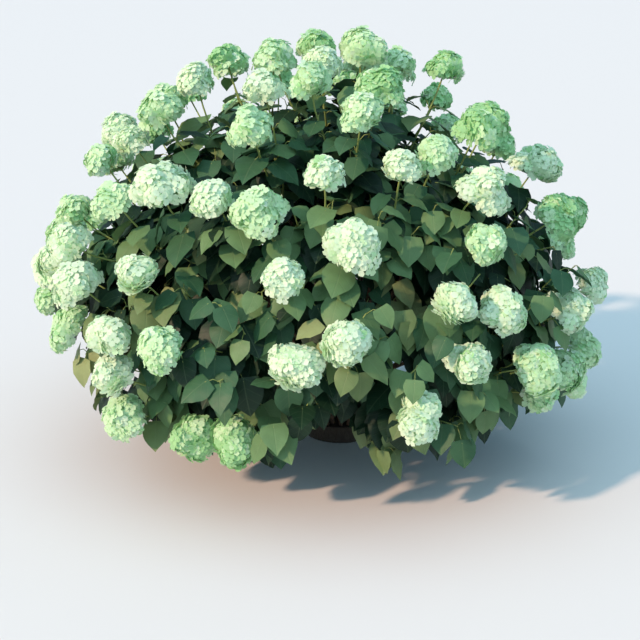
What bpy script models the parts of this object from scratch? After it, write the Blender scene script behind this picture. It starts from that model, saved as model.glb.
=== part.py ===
"""A smooth hydrangea shrub in full bloom, rooted in the ground.

A low woody foot carries many slender canes. Each cane arches out to a mass of foliage, where its stem forks
into shoots that bear opposite leaves and end in a domed flower head. Metres, +Z up, the front towards -Y, and
the origin at the middle of the flat cut under the foot.
"""

import math
import random

import bmesh
import bpy
from mathutils import Vector
from mathutils.bvhtree import BVHTree

UP = Vector((0, 0, 1))

# The crown: flower heads have their middles on a dome round CROWN_MIDDLE, flatter below than above.
CROWN_MIDDLE = Vector((-0.07, -0.12, 0.50))
CROWN_HALF_WIDTH = 0.865
CROWN_HALF_DEPTH = 0.80
CROWN_RISE = 0.825
CROWN_DROP = 0.42

# The masses of foliage, tier by tier: the azimuth from the front towards +X and the elevation, in degrees as
# seen from CROWN_MIDDLE, then the number of flower heads and the turn of their cluster in degrees. The skirt
# hangs lowest, and its stems rise straight from the foot.
TIERS = {
    "skirt": (
        (-46, -8, 2, 80),
        (-27, -19, 2, 0),
        (19, -6, 1, 0),
        (53, -6, 2, 135),
        (-20, 8, 0, 45),
        (71, 0, 4, 50),
        (109, 0, 4, 10),
        (146, 1, 4, 70),
        (-176, -1, 4, 30),
        (-137, 0, 4, 60),
        (-98, 8, 4, 45),
    ),
    "low": ((-64, 10, 3, 40), (-39, 10, 3, 95), (0, 7, 2, 30), (33, 10, 3, 15)),
    "middle": (
        (-66, 28, 4, 20),
        (-32, 36, 2, 0),
        (-4, 32, 4, 70),
        (29, 45, 2, 15),
        (41, 31, 2, 75),
        (80, 27, 3, 75),
        (130, 28, 4, 60),
        (-172, 27, 4, 0),
        (-118, 28, 4, 20),
    ),
    "upper": (
        (-84, 46, 3, 90),
        (-72, 57, 2, 100),
        (-23, 58, 2, 95),
        (14, 63, 3, 30),
        (60, 49, 2, 10),
        (95, 68, 2, 90),
        (150, 53, 4, 20),
        (-142, 53, 4, 60),
    ),
    "top": ((0, 87, 4, 0), (-105, 74, 2, 90), (155, 75, 3, 10)),
}
HEAD_SPREAD_DEG = (5, 0, 5.5, 8, 10.5, 13)
GAP_SPREAD_DEG = 8
HANGING = ("skirt", "low")
WAVER_DEG = 1.0
REACH_WAVER = 0.035

# The woody foot, and the canes that stand on it.
FOOT_RADIUS = 0.128
FOOT_SHOULDER = 0.112
FOOT_HEIGHT = 0.05
FOOT_SIDES = 14
CANE_CIRCLE = 0.092
CANE_SPACING = 0.026
CANE_BASE_RADIUS = 0.0085
CANE_TIP_RADIUS = 0.0062
CANE_SIDES = 5
CANE_STEPS = 4
CANE_AIM = Vector((0, 0, 0.14))
CORE_SHARE = 0.68
STEM_LENGTH = 0.09
CLEAR = 0.0003

# Twigs, heads, leaves and cores, with leaves larger than life because there are fewer of them.
TWIG_SIDES = 3
STEM_RADIUS = 0.0060
SHOOT_RADIUS = 0.0045
SHOOT_TIP_RADIUS = 0.0034
HEAD_RADIUS = (0.054, 0.070)
HEAD_SEGMENTS = 7
HEAD_PROFILE = ((0.60, 0.66), (0.05, 1.0), (-0.46, 0.76))
HEAD_TOP = 0.90
HEAD_FOOT = -0.66
HEAD_LUMP = 0.09
LEAF_LENGTH = (0.158, 0.198)
LEAF_WIDTH = 0.76
LEAF_THICK = 0.028
LEAF_SINK = 0.0008
LEAF_TRIES = 12
LEAF_ROOM = 0.096
LEAF_DROOP = (0.04, 0.15)
CORE_RADIUS = 0.105
CORE_SEGMENTS = 6
CORE_PROFILE = ((0.5, 0.85), (-0.5, 0.85))
GAP = 0.0015
GROUND_CLEAR = 0.004

WOOD = ("hydrangea_wood", (0.145, 0.088, 0.048), 0.85)
LEAF = ("hydrangea_leaf", (0.055, 0.118, 0.045), 0.55)


def material(name, colour, roughness):
    """A Principled finish, made once."""
    made = bpy.data.materials.get(name) or bpy.data.materials.new(name)
    made.use_nodes = True
    shader = made.node_tree.nodes["Principled BSDF"]
    shader.inputs["Base Color"].default_value = (*colour, 1)
    shader.inputs["Roughness"].default_value = roughness
    shader.inputs["Metallic"].default_value = 0
    return made


def direction(azimuth, elevation):
    """The unit vector at these degrees, with azimuth 0 to the front."""
    a, e = math.radians(azimuth), math.radians(elevation)
    return Vector((math.sin(a) * math.cos(e), -math.cos(a) * math.cos(e), math.sin(e)))


def turns(start_deg, count):
    """Angles in radians, evenly round a circle."""
    return [math.radians(start_deg) + 2 * math.pi * i / count for i in range(count)]


def dome(way, share=1.0):
    """The point at this share of the way from the crown's middle to its dome."""
    rise = CROWN_RISE if way.z > 0 else CROWN_DROP
    scaled = Vector((way.x / CROWN_HALF_WIDTH, way.y / CROWN_HALF_DEPTH, way.z / rise))
    return CROWN_MIDDLE + way * (share / scaled.length)


def bezier(a, b, c, d, t):
    u = 1 - t
    return a * u**3 + b * (3 * u * u * t) + c * (3 * u * t * t) + d * t**3


def arc(start, leave, end, arrive, steps):
    """Points on a smooth arc that leaves start along leave and comes in to end along arrive."""
    pull = (end - start).length * 0.38
    return [
        bezier(start, start + leave * pull, end - arrive * pull, end, i / steps)
        for i in range(steps + 1)
    ]


class Head:
    """One flower head: its middle, its size and the way it faces."""

    def __init__(self, way, rng):
        self.middle = dome(way, 1 + rng.uniform(-REACH_WAVER, REACH_WAVER))
        self.radius = rng.uniform(*HEAD_RADIUS)
        self.lean = Vector([rng.uniform(-0.25, 0.25) for _ in range(3)])

    def settle(self):
        """Faces outwards and up, and stays clear of the ground."""
        outward = (self.middle - CROWN_MIDDLE).normalized()
        self.facing = (outward + UP * 0.45 + self.lean).normalized()
        self.middle.z = max(self.middle.z, self.radius + GROUND_CLEAR * 3)
        self.base = self.middle + self.facing * (HEAD_FOOT * 0.55 * self.radius)


class Mass:
    """One mass of foliage and the cane that carries it."""

    def __init__(self, tier, number, row):
        azimuth, elevation, heads, turn = row
        self.name = f"{tier}_{number}"
        self.tier = tier
        self.rng = random.Random(f"hydrangea {self.name}")
        self.way = direction(azimuth, elevation)
        self.middle = dome(self.way)
        side = direction(azimuth + 90, 0)
        rise = self.way.cross(side)
        self.heads = []
        around = [side * math.cos(a) + rise * math.sin(a) for a in turns(turn, 2 * max(heads, 2))]
        for i in range(heads):
            away = math.radians(HEAD_SPREAD_DEG[heads] + self.rng.uniform(-WAVER_DEG, WAVER_DEG))
            way = self.way * math.cos(away) + around[2 * i] * math.sin(away)
            self.heads.append(Head(way.normalized(), self.rng))
        self.gaps = around[1::2][:2] if heads else around
        if tier in HANGING:
            self.gaps.append(rise * -1)
        share = (90 - elevation) / 110
        self.foot = Vector((self.way.x, self.way.y, 0)).normalized() * (CANE_CIRCLE * min(share, 1.0))
        self.core = CANE_AIM.lerp(self.middle, CORE_SHARE)

    def settle(self):
        """The arc of the cane and the place of its fork, once the feet and cores are spaced out."""
        self.foot.z = FOOT_HEIGHT + CLEAR
        self.leave = (UP + Vector((self.way.x, self.way.y, 0)) * 0.35).normalized()
        self.arrive = (self.core - CANE_AIM).normalized()
        self.fork = self.core - self.arrive * (CORE_RADIUS * 0.55)
        self.end = self.fork - self.arrive * STEM_LENGTH

    def cane_points(self):
        return arc(self.foot, self.leave, self.end, self.arrive, CANE_STEPS)


def push_apart(points, distances, rounds=40):
    """Moves the points away from each other until each pair is at least its distance apart."""
    for _ in range(rounds):
        for i, a in enumerate(points):
            for j in range(i):
                between = a - points[j]
                short = distances(i, j) - between.length
                if short > 0:
                    shift = between.normalized() * (short / 2)
                    a += shift
                    points[j] -= shift


def plan_shrub():
    """Every mass, with its heads and feet spaced so that nothing touches."""
    masses = [Mass(tier, n + 1, row) for tier, rows in TIERS.items() for n, row in enumerate(rows)]
    heads = [head for mass in masses for head in mass.heads]
    push_apart([h.middle for h in heads], lambda i, j: (heads[i].radius + heads[j].radius) * 1.12)
    push_apart([m.foot for m in masses], lambda i, j: CANE_SPACING)
    push_apart([m.core for m in masses], lambda i, j: CORE_RADIUS * 2.05)
    for head in heads:
        head.settle()
    for mass in masses:
        mass.settle()
    return masses


def frames(points):
    """A pair of cross directions at each point, carried along the line without twist."""
    tangents = []
    for i in range(len(points)):
        before, after = points[max(i - 1, 0)], points[min(i + 1, len(points) - 1)]
        tangents.append((after - before).normalized())
    across = tangents[0].orthogonal().normalized()
    pairs = []
    for tangent in tangents:
        across = (across - tangent * across.dot(tangent)).normalized()
        pairs.append((across, tangent.cross(across)))
    return pairs


def tube(points, radii, sides, level=False):
    """A closed tapering limb, as (points, faces). A level one starts with a cut parallel to the ground."""
    corners, faces = [], []
    for point, radius, (u, v) in zip(points, radii, frames(points)):
        for k in range(sides):
            a = 2 * math.pi * k / sides
            corners.append(point + u * (radius * math.cos(a)) + v * (radius * math.sin(a)))
    for ring in range(len(points) - 1):
        for k in range(sides):
            a, b = ring * sides + k, ring * sides + (k + 1) % sides
            faces.append((a, b, b + sides, a + sides))
    if level:
        for corner in corners[:sides]:
            corner.z = points[0].z
    last = (len(points) - 1) * sides
    faces.append(tuple(range(sides - 1, -1, -1)))
    faces.append(tuple(range(last, last + sides)))
    return corners, faces


def tapered(start, finish, count):
    return [start + (finish - start) * i / (count - 1) for i in range(count)]


def ball(middle, facing, radius, segments, profile, top, foot, lump, rng):
    """A lumpy ball about a facing axis: rings at (height, width) shares of the radius between two poles."""
    u = facing.orthogonal().normalized()
    v = facing.cross(u)
    corners, faces = [middle + facing * (top * radius)], []
    for n, (height, width) in enumerate(profile):
        for k in range(segments):
            a = 2 * math.pi * (k + 0.5 * (n % 2)) / segments
            swell = radius * (1 + rng.uniform(-lump, lump))
            outward = u * math.cos(a) + v * math.sin(a)
            corners.append(middle + facing * (height * swell) + outward * (width * swell))
    corners.append(middle + facing * (foot * radius))
    for k in range(segments):
        after = (k + 1) % segments
        faces.append((0, 1 + k, 1 + after))
        for n in range(len(profile) - 1):
            a, b = 1 + n * segments + k, 1 + n * segments + after
            c, d = a + segments, b + segments
            # Each second ring is turned half a step, so the diagonals alternate.
            faces += [(a, c, b), (b, c, d)] if n % 2 == 0 else [(a, c, d), (a, d, b)]
        low = 1 + (len(profile) - 1) * segments
        faces.append((low + k, len(corners) - 1, low + after))
    return corners, faces


def leaf(root, along, normal, length, droop):
    """A closed ovate leaf of ten faces, flat below, raised at the midrib and drooping to its tip."""
    across = along.cross(normal).normalized()
    half = length * LEAF_WIDTH / 2

    def spot(share, side, lift=0.0):
        sag = droop * share * share * length
        return root + along * (share * length) + across * side + normal * (lift - sag)

    corners = [spot(0, 0), spot(0.30, half), spot(0.64, half * 0.82)]
    corners += [spot(1, 0), spot(0.64, -half * 0.82), spot(0.30, -half)]
    corners.append(spot(0.42, 0, length * LEAF_THICK))
    faces = [(k, (k + 1) % 6, 6) for k in range(6)]
    return corners, faces + [(0, 5, 1), (5, 4, 1), (4, 2, 1), (4, 3, 2)]


def leaf_pose(place, lateral, rng):
    """Leaves lie like shingles: faces outwards and up, tips outwards and down."""
    outward = (place - CROWN_MIDDLE).normalized()
    waver = Vector([rng.uniform(-0.40, 0.40) for _ in range(3)])
    level = Vector((outward.x, outward.y, 0))
    normal = (outward * 0.7 + level * 0.3 + UP * 0.35 + waver).normalized()
    along = lateral * 0.90 + outward * 0.35 - UP * 0.60
    along = (along - normal * along.dot(normal)).normalized()
    return along, normal


def swollen(corners):
    """The same corners a little further from their middle, so that a test keeps the gap."""
    middle = sum(corners, Vector()) / len(corners)
    return [c + (c - middle).normalized() * GAP for c in corners]


class Space:
    """What is already placed, to test new pieces against."""

    def __init__(self):
        self.corners, self.faces, self.owners = [], [], []
        self.tree = None

    def add(self, piece, owner):
        base = len(self.corners)
        self.corners += piece[0]
        for face in piece[1]:
            self.faces.append(tuple(base + i for i in face))
            self.owners.append(owner)
        self.tree = None

    def met(self, piece, mine=()):
        """The owners, other than those in mine, of what the piece cuts."""
        if self.tree is None:
            self.tree = BVHTree.FromPolygons(self.corners, self.faces)
        tested = BVHTree.FromPolygons(piece[0], piece[1])
        return {self.owners[b] for _, b in tested.overlap(self.tree)} - set(mine)


def shoot_line(mass, head):
    """A shoot leaves the fork along the cane and comes in to its head from behind."""
    leave = (mass.arrive * 0.8 + (head.base - mass.fork).normalized() * 0.6).normalized()
    return arc(mass.fork, leave, head.base, head.facing, 2)


def side_line(mass, gap, share=0.90):
    """A leafy side twig that fills the room between two heads."""
    spread = math.radians(HEAD_SPREAD_DEG[len(mass.heads)] + GAP_SPREAD_DEG)
    way = (mass.way * math.cos(spread) + gap * math.sin(spread)).normalized()
    end = dome(way, share)
    end.z = max(end.z, 0.10)
    arrive = (end - mass.fork).normalized()
    return arc(mass.fork, mass.arrive, end, arrive, 1)


def on_line(line, share):
    """The place at this share of the line, and the way that the line runs there."""
    at = share * (len(line) - 1)
    i = min(int(at), len(line) - 2)
    step = line[i + 1] - line[i]
    return line[i] + step * (at - i), step.normalized()


def limbs_of(mass):
    """The stem, core, shoots, heads and side twigs of a mass, as (pieces, lines that bear leaves)."""
    rng = random.Random(f"limbs {mass.name}")
    from_trunk = mass.tier == "skirt"
    if from_trunk:
        stem = mass.cane_points() + [mass.fork]
    else:
        stem = [mass.end + mass.arrive * CLEAR, mass.fork]
    thick = CANE_BASE_RADIUS if from_trunk else CANE_TIP_RADIUS * 0.97
    pieces = [(mass.name, tube(stem, tapered(thick, STEM_RADIUS, len(stem)), TWIG_SIDES, level=from_trunk))]
    core = ball(mass.core, mass.way, CORE_RADIUS, CORE_SEGMENTS, CORE_PROFILE, 0.85, -0.85, HEAD_LUMP, rng)
    pieces.append((mass.name, core))
    lines = []
    for head in mass.heads:
        lines.append((shoot_line(mass, head), (0.60, 0.94)))
        shape = (HEAD_SEGMENTS, HEAD_PROFILE, HEAD_TOP, HEAD_FOOT, HEAD_LUMP)
        pieces.append((mass.name, ball(head.middle, head.facing, head.radius, *shape, rng)))
    for gap in mass.gaps:
        lines.append((side_line(mass, gap), (0.60, 0.97)))
    for number, (line, _) in enumerate(lines):
        twig = tube(line, tapered(SHOOT_RADIUS, SHOOT_TIP_RADIUS, len(line)), TWIG_SIDES)
        pieces.append((f"{mass.name} line {number}", twig))
    return pieces, lines


def leaf_slots(lines):
    """Where leaves can grow along the lines of a mass, two to a node and the outermost nodes first."""
    slots = []
    for rank in (1, 0):
        for number, (line, shares) in enumerate(lines):
            slots += [(number, line, shares[rank])] * 2
    return slots


def best_leaf(mass, slot, space, blades):
    """The leaf that turns to the widest free room round its node, or None where each would touch or crowd."""
    number, line, share = slot
    place, stem = on_line(line, share)
    u = stem.orthogonal().normalized()
    v = stem.cross(u)
    length = mass.rng.uniform(*LEAF_LENGTH)
    turn = mass.rng.uniform(0, 2 * math.pi)
    best, most = None, LEAF_ROOM
    for attempt in range(LEAF_TRIES):
        a = turn + 2 * math.pi * attempt / LEAF_TRIES
        along, normal = leaf_pose(place, u * math.cos(a) + v * math.sin(a), mass.rng)
        made = leaf(place - along * LEAF_SINK, along, normal, length, mass.rng.uniform(*LEAF_DROOP))
        middle = place + along * (length * 0.5)
        room = min((middle - blade).length for blade in blades)
        if room < most or min(c.z for c in made[0]) < GROUND_CLEAR:
            continue
        if not space.met((swollen(made[0]), made[1]), (f"{mass.name} line {number}",)):
            best, most = (middle, made), room
    return best


def grow_leaves(grown, space):
    """The leaves of every mass, a node at a time over the whole shrub, so that the crown fills evenly."""
    blades = [head.middle for mass, _, _ in grown for head in mass.heads]
    slots = {mass.name: leaf_slots(lines) for mass, _, lines in grown}
    leaves = {mass.name: [] for mass, _, _ in grown}
    for turn in range(max(len(s) for s in slots.values())):
        for mass, _, _ in grown:
            if turn < len(slots[mass.name]):
                found = best_leaf(mass, slots[mass.name][turn], space, blades)
                if found:
                    blades.append(found[0])
                    leaves[mass.name].append(found[1])
                    space.add(found[1], f"{mass.name} leaf")
    return leaves


def mesh_object(name, piece, finish):
    mesh = bpy.data.meshes.new(name)
    mesh.from_pydata([tuple(c) for c in piece[0]], [], piece[1])
    mesh.materials.append(material(*finish))
    return bpy.data.objects.new(name, mesh)


def shells(bm):
    """The separate shells of a mesh, as lists of vertices."""
    left, found = set(bm.verts), []
    while left:
        shell, edge_of = [], [left.pop()]
        while edge_of:
            vertex = edge_of.pop()
            shell.append(vertex)
            for edge in vertex.link_edges:
                other = edge.other_vert(vertex)
                if other in left:
                    left.remove(other)
                    edge_of.append(other)
        found.append(shell)
    return found


def keep_one_shell(mesh):
    """Drops loose scraps and fills what fusing sealed, by keeping only the largest shell."""
    bm = bmesh.new()
    bm.from_mesh(mesh)
    parts = sorted(shells(bm), key=len)
    for scrap in parts[:-1]:
        bmesh.ops.delete(bm, geom=scrap, context="VERTS")
    bm.to_mesh(mesh)
    bm.free()


def fused(name, pieces, finish):
    """The pieces joined into one solid by one Boolean union on their collection."""
    others = bpy.data.collections.new(name)
    bpy.context.scene.collection.children.link(others)
    solid = mesh_object(name, pieces[0], finish)
    bpy.context.scene.collection.objects.link(solid)
    for n, piece in enumerate(pieces[1:]):
        others.objects.link(mesh_object(f"{name}_{n}", piece, finish))
    join = solid.modifiers.new("join", "BOOLEAN")
    join.operation = "UNION"
    join.operand_type = "COLLECTION"
    join.collection = others
    join.solver = "MANIFOLD"
    bpy.context.view_layer.objects.active = solid
    bpy.ops.object.modifier_apply(modifier=join.name)
    for piece in list(others.objects):
        bpy.data.objects.remove(piece)
    bpy.data.collections.remove(others)
    keep_one_shell(solid.data)
    return solid


def foot():
    """The woody foot: a low mound with a root flare, cut flat at the ground."""
    rng = random.Random("foot")
    corners, faces = [], []
    rings = ((FOOT_RADIUS, 0), (FOOT_SHOULDER * 1.04, FOOT_HEIGHT * 0.4), (FOOT_SHOULDER, FOOT_HEIGHT))
    swell = [1 + rng.uniform(-0.05, 0.05) for _ in range(FOOT_SIDES)]
    for radius, height in rings:
        for k in range(FOOT_SIDES):
            a = 2 * math.pi * k / FOOT_SIDES
            corners.append(Vector((math.cos(a), math.sin(a), 0)) * (radius * swell[k]) + UP * height)
    for ring in range(len(rings) - 1):
        for k in range(FOOT_SIDES):
            a, b = ring * FOOT_SIDES + k, ring * FOOT_SIDES + (k + 1) % FOOT_SIDES
            faces.append((a, b, b + FOOT_SIDES, a + FOOT_SIDES))
    last = (len(rings) - 1) * FOOT_SIDES
    faces.append(tuple(range(FOOT_SIDES - 1, -1, -1)))
    faces.append(tuple(range(last, last + FOOT_SIDES)))
    return corners, faces


def main():
    for old in list(bpy.data.objects):
        bpy.data.objects.remove(old)
    link = bpy.context.scene.collection.objects.link
    space = Space()
    wood = foot()
    space.add(wood, "foot")
    link(mesh_object("woody_foot", wood, WOOD))
    masses = plan_shrub()
    for mass in masses:
        if mass.tier == "skirt":
            continue
        line = mass.cane_points()
        cane = tube(line, tapered(CANE_BASE_RADIUS, CANE_TIP_RADIUS, len(line)), CANE_SIDES, level=True)
        space.add(cane, f"cane {mass.name}")
        link(mesh_object(f"cane_{mass.name}", cane, WOOD))
    grown = []
    for mass in masses:
        pieces, lines = limbs_of(mass)
        for owner, piece in pieces:
            space.add(piece, owner)
        grown.append((mass, pieces, lines))
    leaves = grow_leaves(grown, space)
    for mass, pieces, _ in grown:
        fused(f"foliage_{mass.name}", [piece for _, piece in pieces] + leaves[mass.name], LEAF)


main()
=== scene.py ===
"""The look of a smooth hydrangea in full bloom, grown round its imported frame.

The growth rule of the solids is written again here and carried on to finer twigs, leaves and
florets, in the same frame: metres, +Z up, the front towards -Y.
"""

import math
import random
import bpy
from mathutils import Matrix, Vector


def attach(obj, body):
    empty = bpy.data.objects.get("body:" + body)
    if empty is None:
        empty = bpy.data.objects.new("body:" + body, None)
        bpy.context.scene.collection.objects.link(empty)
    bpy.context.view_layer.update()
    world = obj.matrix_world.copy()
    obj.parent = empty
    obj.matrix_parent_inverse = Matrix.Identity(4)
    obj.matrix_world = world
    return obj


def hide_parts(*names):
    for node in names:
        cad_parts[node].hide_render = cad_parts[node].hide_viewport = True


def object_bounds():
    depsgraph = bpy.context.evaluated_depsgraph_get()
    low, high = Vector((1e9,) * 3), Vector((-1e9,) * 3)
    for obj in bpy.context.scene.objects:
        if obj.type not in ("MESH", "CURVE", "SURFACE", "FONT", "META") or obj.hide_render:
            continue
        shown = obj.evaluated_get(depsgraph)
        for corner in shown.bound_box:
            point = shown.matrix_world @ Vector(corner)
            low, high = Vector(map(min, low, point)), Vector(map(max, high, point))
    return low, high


bl_info = {
    "name": "Smooth hydrangea shrub",
    "version": (1, 0, 0),
    "blender": (4, 5, 0),
    "location": "3D View > Sidebar > Hydrangea",
    "description": "Grows canes, leaves and flower heads over the frame of a smooth hydrangea",
    "category": "Add Mesh",
}

from functools import partial

import bmesh
import bpy
import numpy as np
from bpy.props import FloatProperty, FloatVectorProperty, IntProperty, PointerProperty
from mathutils import Vector

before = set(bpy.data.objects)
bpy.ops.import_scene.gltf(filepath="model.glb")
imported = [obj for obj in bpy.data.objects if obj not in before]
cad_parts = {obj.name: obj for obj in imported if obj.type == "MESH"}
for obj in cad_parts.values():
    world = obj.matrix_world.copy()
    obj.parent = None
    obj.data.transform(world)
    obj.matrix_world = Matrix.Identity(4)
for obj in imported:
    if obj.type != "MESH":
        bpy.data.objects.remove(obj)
CAD_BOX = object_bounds()
UP = Vector((0, 0, 1))
GOLDEN_TURN = math.pi * (3 - math.sqrt(5))

# The growth rule, with the values of the solids: flower heads lie on a dome, and each mass of
# foliage has its azimuth and elevation, its number of heads and the turn of their cluster.
CROWN_MIDDLE = Vector((-0.07, -0.12, 0.50))
CROWN_HALF_WIDTH = 0.865
CROWN_HALF_DEPTH = 0.80
CROWN_RISE = 0.825
CROWN_DROP = 0.42
TIERS = {
    "skirt": (
        (-46, -8, 2, 80), (-27, -19, 2, 0), (19, -6, 1, 0), (53, -6, 2, 135), (-20, 8, 0, 45),
        (71, 0, 4, 50), (109, 0, 4, 10), (146, 1, 4, 70), (-176, -1, 4, 30), (-137, 0, 4, 60),
        (-98, 8, 4, 45),
    ),
    "low": ((-64, 10, 3, 40), (-39, 10, 3, 95), (0, 7, 2, 30), (33, 10, 3, 15)),
    "middle": (
        (-66, 28, 4, 20), (-32, 36, 2, 0), (-4, 32, 4, 70), (29, 45, 2, 15), (41, 31, 2, 75),
        (80, 27, 3, 75), (130, 28, 4, 60), (-172, 27, 4, 0), (-118, 28, 4, 20),
    ),
    "upper": (
        (-84, 46, 3, 90), (-72, 57, 2, 100), (-23, 58, 2, 95), (14, 63, 3, 30), (60, 49, 2, 10),
        (95, 68, 2, 90), (150, 53, 4, 20), (-142, 53, 4, 60),
    ),
    "top": ((0, 87, 4, 0), (-105, 74, 2, 90), (155, 75, 3, 10)),
}
HEAD_SPREAD_DEG = (5, 0, 5.5, 8, 10.5)
WAVER_DEG = 1.0
REACH_WAVER = 0.035
HEAD_RADIUS = (0.054, 0.070)
HEAD_TOP = 0.90
HEAD_FOOT = -0.66
HEAD_LEAN = 0.25
HEAD_LIFT = 0.45
HEAD_ROOM = 1.12
HEAD_OVER_GROUND = 0.012
SHOOT_INTO_HEAD = 0.55
FOOT_RADIUS = 0.128
FOOT_SHOULDER = 0.112
FOOT_HEIGHT = 0.05
CANE_CIRCLE = 0.092
CANE_CIRCLE_DEG = 110
CANE_SPACING = 0.026
CANE_SPLAY = 0.35
CANE_AIM = Vector((0, 0, 0.14))
CORE_SHARE = 0.68
CORE_RADIUS = 0.105
CORE_ROOM = 2.05
FORK_INTO_CORE = 0.55
STEM_LENGTH = 0.09
ARC_PULL = 0.38
# A shoot leaves its fork in these shares along the cane and towards its head.
SHOOT_SHARES = (0.8, 0.6)
CLEAR = 0.0003

# The finer growth. Leafy twigs end this far out, as a share of the way to the dome.
LEAFY_REACH = {"skirt": 1.0, "low": 0.98, "middle": 0.93, "upper": 0.86, "top": 0.83}
INNERMOST_TWIG = 0.62
LOWEST_TWIG_DEG = -42
HIGHEST_TWIG = 0.995
TWIG_TURN_OUT = 0.4
TWIG_STEPS = 5
SHOOT_STEPS = 7
TWIG_SPREAD_DEG = 27
HANGING_SPREAD_DEG = 31
TWIG_OVER_GROUND = 0.07
# High up the crown is airier: this share of the twigs is missing there.
AIRY_HEIGHT = 0.62
AIRY_SHARE = 0.35
# Low at the front it stays open: a notch in the skirt of leaves, whose sides slope down.
NOTCH_AZIMUTH_DEG = 3
NOTCH_HALF_WIDTH_DEG = 5
NOTCH_HEAD_DEG = -8
NOTCH_SLOPE = 2.2

# Leaves: how many pairs a shoot or twig has, and how far behind its tip they begin.
LEAF_PAIRS = 4
BARE_STEM = (0.04, 0.13)
BARE_TWIG = 0.004
PAIR_WAVER = 0.35
# The pair at the tip is the youngest and smallest, and each next one is larger by a step.
YOUNGEST = 0.82
GROWTH = 0.09
# A petiole follows its side, the stem and the light from outside. A blade's face follows the
# light, the sky and its side, and its tip follows its side and the light and hangs down.
PETIOLE_SHARES = (0.9, 0.45, 0.35)
FACE_SHARES = (0.65, 0.60, 0.30)
FACE_WAVER = 0.42
TIP_SHARES = (0.48, 0.30, -1.05)
TIP_WAVER = 0.2
HEAD_CLEARANCE = 1.18
PAST_BOX = 0.008
LEAF_OVER_GROUND = 0.012

# A blade's half width at even steps from its foot to its tip, and what bends it.
BLADE_WIDTHS = (0.0, 0.82, 1.02, 1.02, 0.94, 0.80, 0.58, 0.29, 0.0)
DOMING = 0.30
WAVES = 19
WAVE_DEPTH = 0.05
WAVE_TURN = 2.399
# Side veins: the climb counts two to a vein along the blade, less the slant to the margin.
VEIN_CLIMB = 8.0
VEIN_SLANT = 5.0
VEIN_STRENGTH = 0.12
# How many sprays in a hundred have leaves of each tint. The sunny and olive greens are lighter
# as painted sunlight, and the darkest green is painted shade.
LEAF_TINTS = {"sunny": 29, "middling": 38, "deep": 22, "olive": 10, "yellowing": 1}

# The bark, the green stems, the stalks of the leaves and the rays under the florets.
WOOD_SHARE = 0.99
FOOT_CUT = 0.006
STEM_INTO_CANE = 0.004
STEM_TIP = 0.0055
STEM_SIDES = 7
SHOOT_SIDES = 5
TWIG_THICKNESS = 0.75
STALK_SIDES = 3
PETIOLE_RADII = (0.0017, 0.0014, 0.0010)
PETIOLE_ARCH = 0.003
PETIOLE_UNDER_BLADE = 0.012
RAYS = 9
RAY_RADII = (0.0016, 0.0010)
RAY_ROOT = 0.006
RAY_REACH = 0.86
RAY_HEIGHTS = (-0.35, 0.05)
RAY_WAVER = 0.2

# Flower heads: lobes crowd a dome that narrows upwards, sags on one side and widens below
# like a bell.
BLOOM_LIFT = 0.35
BLOOM_REACH = 0.90
LOBES = 9
LOBE_LIFT = 0.4
LOBE_SHARPNESS = 8
LOBE_MEAN = 0.35
SAG_DIP = 0.45
SAG_SHARPNESS = 3.5
NARROWING = 0.22
HEART_SHARE = 0.86
# The heads over this height are smaller.
HIGH = 1.0
HIGH_HEADS = 0.88

# Florets: they cover a head down to the lowest, and those under the rim hang a little.
MIDDLING_HEAD = 0.06
LOWEST_FLORET = -0.62
FIRST_TURN = 6.28
SPOT_SHARE = 0.99
SPOT_DEPTHS = (0.92, 1.06)
SPOT_WAVER = 0.03
RIM = -0.25
RIM_HANG = (-0.04, 0.14)
RIM_LIFT = 0.6
FLORET_LIFT = 0.35
FLORET_WAVER = 0.18
HEAD_FLATNESS = 0.8
LOBE_TURN = 5
PETAL_MIDDLE = Vector((0.56, 0, 0))
# How green a head is, and how much greener in four places: at the back, on the right and near
# the ground as painted shade, away from the sun, and at the top. The shares of cream, pale green
# and lime florets are those of the first limit that is over it.
GREENNESS = 0.30
GREEN_WAVER = (-0.25, 0.3)
GREENER = {"back": 0.25, "right": 0.25, "top": 0.20, "ground": 0.52}
TOP_HEADS = 1.12
LOW_HEADS = 0.30
TINT_SHARES = (
    (0.30, (0.86, 0.13, 0.01)),
    (0.55, (0.14, 0.80, 0.06)),
    (math.inf, (0.01, 0.24, 0.75)),
)

# Vertices this near a place count as there.
NEAR = 1e-4

FLOOR_UNDER_FOOT = 0.0005
CAMERA_AIM_HEIGHT = 0.66
CAMERA_DIP = math.radians(3.02)
LENS_MM = 69.3
HORIZON_BAND = 0.15


def srgb(code):
    """A linear colour from an sRGB hex value."""
    parts = [int(code[i : i + 2], 16) / 255 for i in (1, 3, 5)]
    return tuple(p / 12.92 if p <= 0.04045 else ((p + 0.055) / 1.055) ** 2.4 for p in parts)


def length_prop(name, description, default):
    return FloatProperty(
        name=name, description=description, default=default, min=0, unit="LENGTH"
    )


def colour_prop(name, description, code):
    return FloatVectorProperty(
        name=name, description=description, default=srgb(code), subtype="COLOR", min=0, max=1
    )


class HydrangeaWood(bpy.types.PropertyGroup):
    """Foot, canes and twigs."""

    cane_base: length_prop("Cane base radius", "Radius of a cane where it leaves the foot", 0.0085)
    cane_tip: length_prop("Cane tip radius", "Radius of a cane where it enters its mass", 0.0062)
    shoot_base: length_prop("Shoot base radius", "Radius of a green shoot at its fork", 0.0040)
    shoot_tip: length_prop("Shoot tip radius", "Radius of a shoot under its head", 0.0026)
    bark_relief: length_prop("Bark relief", "How far the bark's strips stand out", 0.0011)
    bark: colour_prop("Bark", "Old bark on the canes", "#6f5a45")
    # The foot's bark is darker than the canes' as painted shade: the foot stands in the dark under
    # the crown.
    foot_bark: colour_prop("Foot's bark", "Damp old bark on the foot", "#4a3e33")
    bark_dark: colour_prop("Bark furrows", "Furrows and shaded strips of the bark", "#3d3026")
    shoot: colour_prop("Green shoot", "This year's shoots and petioles", "#8b9a55")


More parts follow.
